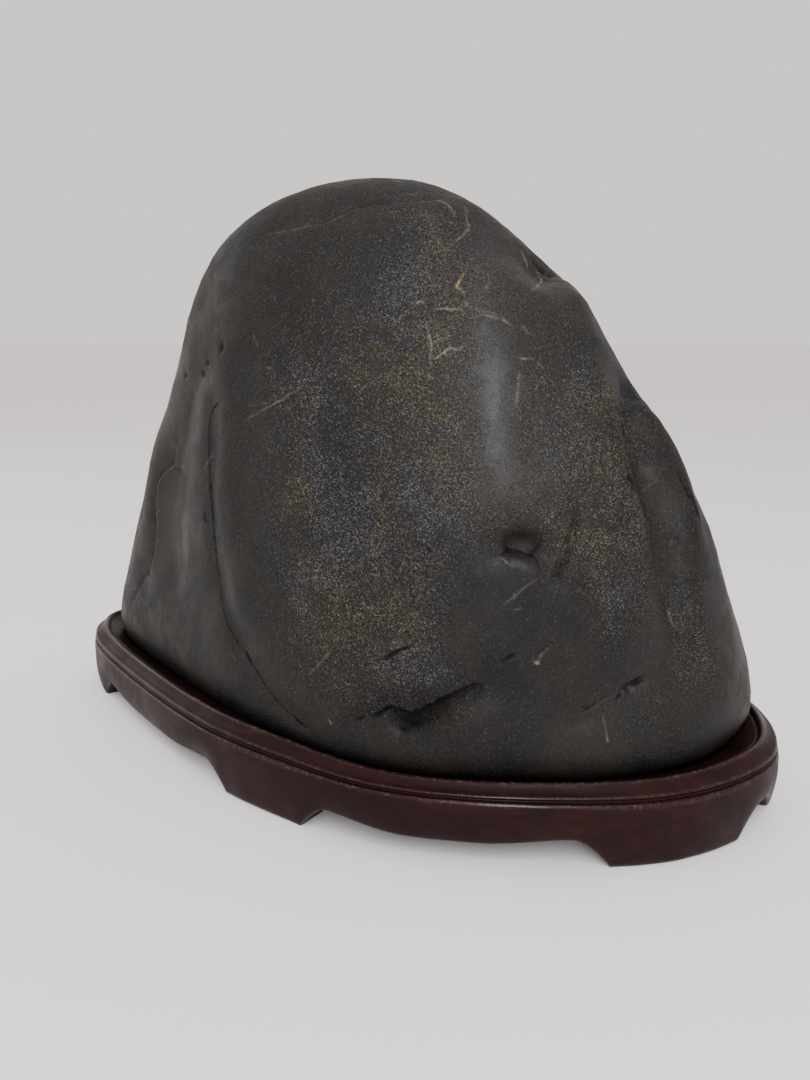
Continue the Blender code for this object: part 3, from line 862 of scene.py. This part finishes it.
def makeFleckGroup():
    # short bright marks at three slants, and fine curling lines; more show where Density is higher
    group, given, result = newGroup("flecks", [("Vector", "NodeSocketVector", None),
                                               ("Density", "NodeSocketFloat", 0.5),
                                               ("Scale", "NodeSocketFloat", 1000.0)],
                                    [("Mask", "NodeSocketFloat"), ("Height", "NodeSocketFloat")])
    here, density, scale = given["Vector"], given["Density"], given["Scale"]
    best = noiseOf(group, here, scale, 2.0, 0.6, 0.9)
    for turn in ((0.3, 1.2, 0.4), (1.3, 0.2, 0.8), (0.7, 0.6, 2.4)):
        slanted = stretched(group, here, (1.0, 1.0, 0.30), turn)
        best = maths(group, "MAXIMUM", best, noiseOf(group, slanted, scale, 1.0, 0.5, 0.4))
    limit = maths(group, "MULTIPLY_ADD", density, -0.10, 0.70)
    marks = maths(group, "DIVIDE", maths(group, "SUBTRACT", best, limit), 0.13, clamp=True)
    winding = noiseOf(group, here, times(group, scale, 0.42), 1.0, 0.5, 0.5)
    fromMiddle = maths(group, "ABSOLUTE", maths(group, "SUBTRACT", winding, 0.5))
    curls = ramp(group, fromMiddle, 0.0, 0.07, 1.0, 0.0)
    breaks = noiseOf(group, stretched(group, here, (0.5, 0.5, 0.5), (0.9, 0.2, 0.5)), scale, 2.0, 0.6)
    kept = maths(group, "MULTIPLY_ADD", density, 0.5, ramp(group, breaks, 0.44, 0.62, -0.6, 0.5))
    curls = maths(group, "MULTIPLY", curls, kept, clamp=True)
    feed(group, result["Mask"], maths(group, "MAXIMUM", marks, curls))
    feed(group, result["Height"], best)
    return group


def makeDriftGroup():
    # patches that drift over a surface, with softer edges for a larger Spread
    group, given, result = newGroup("drift", [("Vector", "NodeSocketVector", None),
                                              ("Scale", "NodeSocketFloat", 30.0),
                                              ("Spread", "NodeSocketFloat", 0.1)],
                                    [("Mask", "NodeSocketFloat")])
    patches = noiseOf(group, given["Vector"], given["Scale"], 5.0, 0.62, 0.6)
    low = maths(group, "SUBTRACT", 0.5, given["Spread"])
    high = maths(group, "ADD", 0.5, given["Spread"])
    feed(group, result["Mask"], ramp(group, patches, low, high))
    return group


def newMaterial(name):
    material = bpy.data.materials.new(name)
    material.use_nodes = True
    tree = material.node_tree
    shader = tree.nodes["Principled BSDF"]
    here = addNode(tree, "ShaderNodeTexCoord").outputs["Object"]
    return material, tree, shader, here


def attributeParts(tree, name):
    node = addNode(tree, "ShaderNodeAttribute", attribute_name=name)
    parts = addNode(tree, "ShaderNodeSeparateColor", {"Color": node.outputs["Color"]})
    return [*parts.outputs[:3], node.outputs["Alpha"]]


stoneLook = {
    "charcoal": (0.0078, 0.0065, 0.0058),
    "ash": (0.0138, 0.0110, 0.0088),
    "brown": (0.0165, 0.0108, 0.0074),
    "slate": (0.0049, 0.0052, 0.0077),
    # paler colour of the polished parts: painted sheen
    "smooth": (0.0400, 0.0345, 0.0300),
    "khakiGround": (0.0112, 0.0088, 0.0062),
    "khakiFleck": (0.142, 0.120, 0.088),
    "greyFleck": (0.128, 0.125, 0.122),
    "thread": (0.235, 0.195, 0.138),
    "gold": (0.42, 0.21, 0.065),
    "chalk": (0.26, 0.285, 0.33),
    # colour of the painted shade in cracks, pits and below ledges; it also darkens the pores
    "shadeAndDirt": (0.0030, 0.0024, 0.0020),
    "patchScale": 26.0, "blotchScale": 70.0, "coolScale": 48.0,
    "fleckScale": 2400.0, "poreScale": 1500.0, "crumbScale": 1900.0, "swellScale": 320.0,
    "roughness": 0.53,       # of the bare stone
    "fleckRoughness": 0.30,  # flecks and the painted shade add to it, and polish takes from it
    "shadeAndDirtRoughness": 0.3,
    "polishRoughness": -0.24,
    "specular": 0.15,
    "relief": 0.00035,       # metres
}


def makeStoneMaterial(flecks, drift):
    material, tree, shader, here = newMaterial("wornStone")
    look = stoneLook
    shadeAndDirt, thread, gold, chalk = attributeParts(tree, "marks")
    speckle, polish, brown, cool = attributeParts(tree, "tones")

    def drifting(vector, scale, spread):
        return useGroup(tree, drift, {"Vector": vector, "Scale": look[scale], "Spread": spread})["Mask"]

    # the ground: two greys, with brown and bluish parts, and polished parts painted paler as a painted
    # sheen
    patches = drifting(here, "patchScale", 0.14)
    blotches = drifting(here, "blotchScale", 0.12)
    coolPatches = drifting(stretched(tree, here, (1.0, 1.0, 0.8), (0.4, 0.9, 0.2)), "coolScale", 0.08)
    coolShare = maths(tree, "MAXIMUM", times(tree, cool, 0.85), times(tree, coolPatches, 0.6))
    base = blend(tree, patches, look["charcoal"], look["ash"])
    base = blend(tree, times(tree, brown, ramp(tree, blotches, 0.0, 1.0, 0.5, 1.0)), base, look["brown"])
    base = blend(tree, coolShare, base, look["slate"])
    base = blend(tree, times(tree, polish, 0.55), base, look["smooth"])
    # flecks: dense drifts, thinner between them
    thickness = maths(tree, "MULTIPLY_ADD", blotches, 0.45, 0.55)
    density = maths(tree, "MULTIPLY", speckle, thickness, clamp=True)
    ground = times(tree, density, ramp(tree, coolPatches, 0.0, 1.0, 0.85, 0.35))
    base = blend(tree, ground, base, look["khakiGround"])
    marks = useGroup(tree, flecks, {"Vector": here, "Density": density, "Scale": look["fleckScale"]})
    strength = times(tree, marks["Mask"], ramp(tree, density, 0.0, 0.8, 0.35, 0.8))
    base = blend(tree, strength, base, blend(tree, coolPatches, look["khakiFleck"], look["greyFleck"]))
    # pores between the flecks, and the marks that are painted on the mesh
    pores = noiseOf(tree, here, look["poreScale"], 2.0, 0.6)
    poreShade = times(tree, ramp(tree, pores, 0.32, 0.52, 0.95, 0.0),
                      ramp(tree, density, 0.0, 0.35, 0.3, 1.0))
    base = blend(tree, poreShade, base, look["shadeAndDirt"])
    crumbs = ramp(tree, noiseOf(tree, here, look["crumbScale"], 2.0, 0.6), 0.36, 0.56, 0.2, 1.0)
    base = blend(tree, times(tree, thread, crumbs), base, look["thread"])
    # gold and chalk marks, then the painted shade
    for amount, colour in ((gold, "gold"), (chalk, "chalk"), (shadeAndDirt, "shadeAndDirt")):
        base = blend(tree, amount, base, look[colour])
    feed(tree, shader.inputs["Base Color"], base)
    rough = maths(tree, "MULTIPLY_ADD", strength, look["fleckRoughness"], look["roughness"])
    rough = maths(tree, "ADD", rough, ramp(tree, blotches, 0.0, 1.0, -0.04, 0.06))
    rough = maths(tree, "MULTIPLY_ADD", polish, look["polishRoughness"], rough)
    rough = maths(tree, "MULTIPLY_ADD", shadeAndDirt, look["shadeAndDirtRoughness"], rough)
    feed(tree, shader.inputs["Roughness"], rough)
    grain = times(tree, maths(tree, "ADD", marks["Height"], pores),
                  ramp(tree, density, 0.0, 0.5, 0.25, 0.9))
    swell = noiseOf(tree, here, look["swellScale"], 4.0, 0.6, 0.3)
    bump = addNode(tree, "ShaderNodeBump", {"Strength": ramp(tree, polish, 0.0, 0.9, 0.75, 0.25),
                                            "Distance": look["relief"],
                                            "Height": maths(tree, "MULTIPLY_ADD", swell, 0.6, grain)})
    feed(tree, shader.inputs["Normal"], bump.outputs["Normal"])
    shader.inputs["Specular IOR Level"].default_value = look["specular"]
    return material


woodLook = {
    "dark": (0.0100, 0.0022, 0.0024),
    "heart": (0.0165, 0.0035, 0.0034),
    "stripe": (0.033, 0.0095, 0.0060),
    "wear": (0.078, 0.050, 0.044),
    # dark wax in grooves and pores, also the colour of the painted shade in the seat and under the stand
    "waxAndShade": (0.007, 0.0012, 0.0012),
    "figureScale": 9.0, "fibreScale": 26.0, "poreScale": 110.0,
    "scuffScale": 900.0, "hazeScale": 40.0,
    "roughness": (0.40, 0.52),      # from the bare to the hazy parts
    "fibreRoughness": 0.08,         # fibres add to it, and wear takes from it
    "wearRoughness": -0.12,
    "specular": 0.09,
    "coat": (0.04, 0.28),           # from the sheltered to the rubbed parts
    "coatRoughness": 0.22,
    "relief": 0.00025,              # metres
}


def makeWoodMaterial(flecks, drift):
    material, tree, shader, here = newMaterial("rosewood")
    look = woodLook
    wear = addNode(tree, "ShaderNodeAttribute", attribute_name="edgeWear").outputs["Fac"]
    waxAndShade = addNode(tree, "ShaderNodeAttribute", attribute_name="waxAndShadeMask").outputs["Fac"]

    def grainOf(fineness, scale, *shape):
        # the grain runs along the stand
        return noiseOf(tree, stretched(tree, here, (1.0, fineness, fineness)), look[scale], *shape)

    figure = grainOf(9.0, "figureScale", 4.0, 0.6, 1.2)
    fibres = grainOf(22.0, "fibreScale", 3.0, 0.65, 0.3)
    pores = ramp(tree, grainOf(14.0, "poreScale", 2.0, 0.6), 0.60, 0.68)
    stripes = times(tree, ramp(tree, fibres, 0.55, 0.72), ramp(tree, figure, 0.45, 0.7))
    base = blend(tree, ramp(tree, figure, 0.38, 0.66), look["dark"], look["heart"])
    base = blend(tree, stripes, base, look["stripe"])
    base = blend(tree, times(tree, pores, 0.6), base, look["waxAndShade"])
    # edges are rubbed pale in scuffs, and the grooves keep dark wax; the same dark colour is painted
    # shade on the lip by the stone, in the seat and under the stand
    scuffs = useGroup(tree, flecks, {"Vector": here, "Density": ramp(tree, wear, 0.0, 1.0, 0.0, 0.8),
                                     "Scale": look["scuffScale"]})["Mask"]
    base = blend(tree, times(tree, scuffs, times(tree, wear, 0.5)), base, look["wear"])
    base = blend(tree, times(tree, waxAndShade, 0.85), base, look["waxAndShade"])
    feed(tree, shader.inputs["Base Color"], base)
    haze = useGroup(tree, drift, {"Vector": here, "Scale": look["hazeScale"], "Spread": 0.15})["Mask"]
    rough = ramp(tree, haze, 0.0, 1.0, *look["roughness"])
    rough = maths(tree, "MULTIPLY_ADD", fibres, look["fibreRoughness"], rough)
    rough = maths(tree, "MULTIPLY_ADD", wear, look["wearRoughness"], rough)
    feed(tree, shader.inputs["Roughness"], rough)
    relief = maths(tree, "SUBTRACT", times(tree, fibres, 0.5), pores)
    bump = addNode(tree, "ShaderNodeBump", {"Strength": 0.35, "Distance": look["relief"],
                                            "Height": relief})
    feed(tree, shader.inputs["Normal"], bump.outputs["Normal"])
    shader.inputs["Specular IOR Level"].default_value = look["specular"]
    feed(tree, shader.inputs["Coat Weight"], ramp(tree, wear, 0.2, 1.0, *look["coat"]))
    shader.inputs["Coat Roughness"].default_value = look["coatRoughness"]
    return material


# floor and light
studio = {
    "paper": (0.92, 0.87, 0.865),
    "sky": (1.0, 0.965, 0.94), "skyStrength": 1.1,
    "floorReach": 25.0,                   # metres
    "middle": (0, 0, 0.1), "reach": 1.4,  # the lights face this point from this far
}
# bearing, height angle and roll in degrees, size across and up in metres, power in watts, colour
lights = {
    "overhead": (90, 78, 0, (1.2, 1.2), 1.7, (1.0, 0.98, 0.96)),
    "left window": (178, 24, 0, (0.7, 0.6), 2.3, (1.0, 0.97, 0.94)),
    "long strip": (-66.0, 39, -3, (0.20, 1.3), 21.5, (0.91, 0.95, 1.0)),
}


def makePaper():
    shape = bmesh.new()
    bmesh.ops.create_circle(shape, cap_ends=True, segments=96, radius=studio["floorReach"])
    material = bpy.data.materials.new("palePaper")
    material.use_nodes = True
    shader = material.node_tree.nodes["Principled BSDF"]
    shader.inputs["Base Color"].default_value = (*studio["paper"], 1.0)
    shader.inputs["Roughness"].default_value = 0.85
    paper = makePiece("paper", shape, material)


def makeLights():
    world = bpy.data.worlds.new("sky")
    world.use_nodes = True
    background = world.node_tree.nodes["Background"]
    background.inputs["Color"].default_value = (*studio["sky"], 1.0)
    background.inputs["Strength"].default_value = studio["skyStrength"]
    scene.world = world
    for name, (bearing, height, roll, (across, up), power, colour) in lights.items():
        light = bpy.data.lights.new(name, "AREA")
        light.shape = "RECTANGLE"
        light.size, light.size_y = across, up
        light.energy = power
        light.color = colour
        turn, tip = math.radians(bearing), math.radians(height)
        out = Vector((math.cos(turn) * math.cos(tip), math.sin(turn) * math.cos(tip), math.sin(tip)))
        lamp = bpy.data.objects.new(name, light)
        lamp.location = Vector(studio["middle"]) + out * studio["reach"]
        facing = out.to_track_quat("Z", "Y") @ Quaternion((0, 0, 1), math.radians(roll))
        lamp.rotation_euler = facing.to_euler()
        scene.collection.objects.link(lamp)
    print("studio ready")


makeCamera()
makePaper()
makeLights()
fleckGroup = makeFleckGroup()
driftGroup = makeDriftGroup()
stoneMaterial = makeStoneMaterial(fleckGroup, driftGroup)
woodMaterial = makeWoodMaterial(fleckGroup, driftGroup)
stoneSurface = makeStone(stoneMaterial)
makeStand(woodMaterial, stoneSurface)
